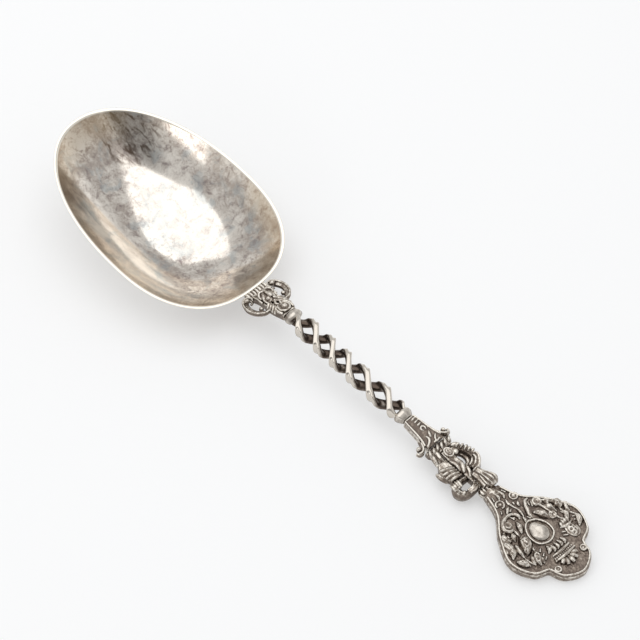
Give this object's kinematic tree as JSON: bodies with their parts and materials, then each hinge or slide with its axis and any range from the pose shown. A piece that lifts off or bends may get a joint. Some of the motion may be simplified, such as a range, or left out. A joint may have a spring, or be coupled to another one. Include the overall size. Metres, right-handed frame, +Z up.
{
  "type": "ornate silver serving spoon",
  "caption": "Silver serving spoon with an egg-shaped bowl, animal-mask heel bracket, open twist stem, scrolled knop and a lobed relief terminal.",
  "frame": {"origin": "on the table under the middle of the spoon's box", "axes": "+X along the spoon from bowl to terminal, +Y across it, +Z up out of the open bowl"},
  "size_m": [0.1996, 0.0514, 0.023],
  "materials": {
    "bowl_silver": "hand-raised sterling silver with mottled tarnish",
    "polished_silver": "rubbed bright sterling silver",
    "oxidised_silver": "cast and chased sterling silver, dark in the recesses"
  },
  "bodies": {
    "root": {"bowl": "bowl_silver", "twist_strand_a": "polished_silver", "twist_strand_b": "polished_silver", "stem_block_heel": "polished_silver", "stem_block_capital": "polished_silver", "heel_drop": "polished_silver", "terminal_rim_wire": "polished_silver", "boss_bezel": "polished_silver", "boss_cabochon": "polished_silver", "heel_gadroon_strip": "oxidised_silver", "heel_bracket": "oxidised_silver", "heel_mask": "oxidised_silver", "heel_scroll_left": "oxidised_silver", "heel_scroll_right": "oxidised_silver", "capital_shaft": "oxidised_silver", "capital_volute_left": "oxidised_silver", "capital_volute_right": "oxidised_silver", "capital_leaf": "oxidised_silver", "knop_core": "oxidised_silver", "knop_loop_right": "oxidised_silver", "knop_loop_left": "oxidised_silver", "knop_wing": "oxidised_silver", "knop_volute_disc": "oxidised_silver", "knop_bud": "oxidised_silver", "knop_collar": "oxidised_silver", "terminal_plate": "oxidised_silver", "terminal_scroll_left": "oxidised_silver", "terminal_scroll_right": "oxidised_silver", "terminal_flower_left": "oxidised_silver", "terminal_flower_right": "oxidised_silver", "end_volute_left": "oxidised_silver", "end_volute_right": "oxidised_silver", "crown_band": "oxidised_silver", "end_fan": "oxidised_silver"}
  },
  "joints": []
}
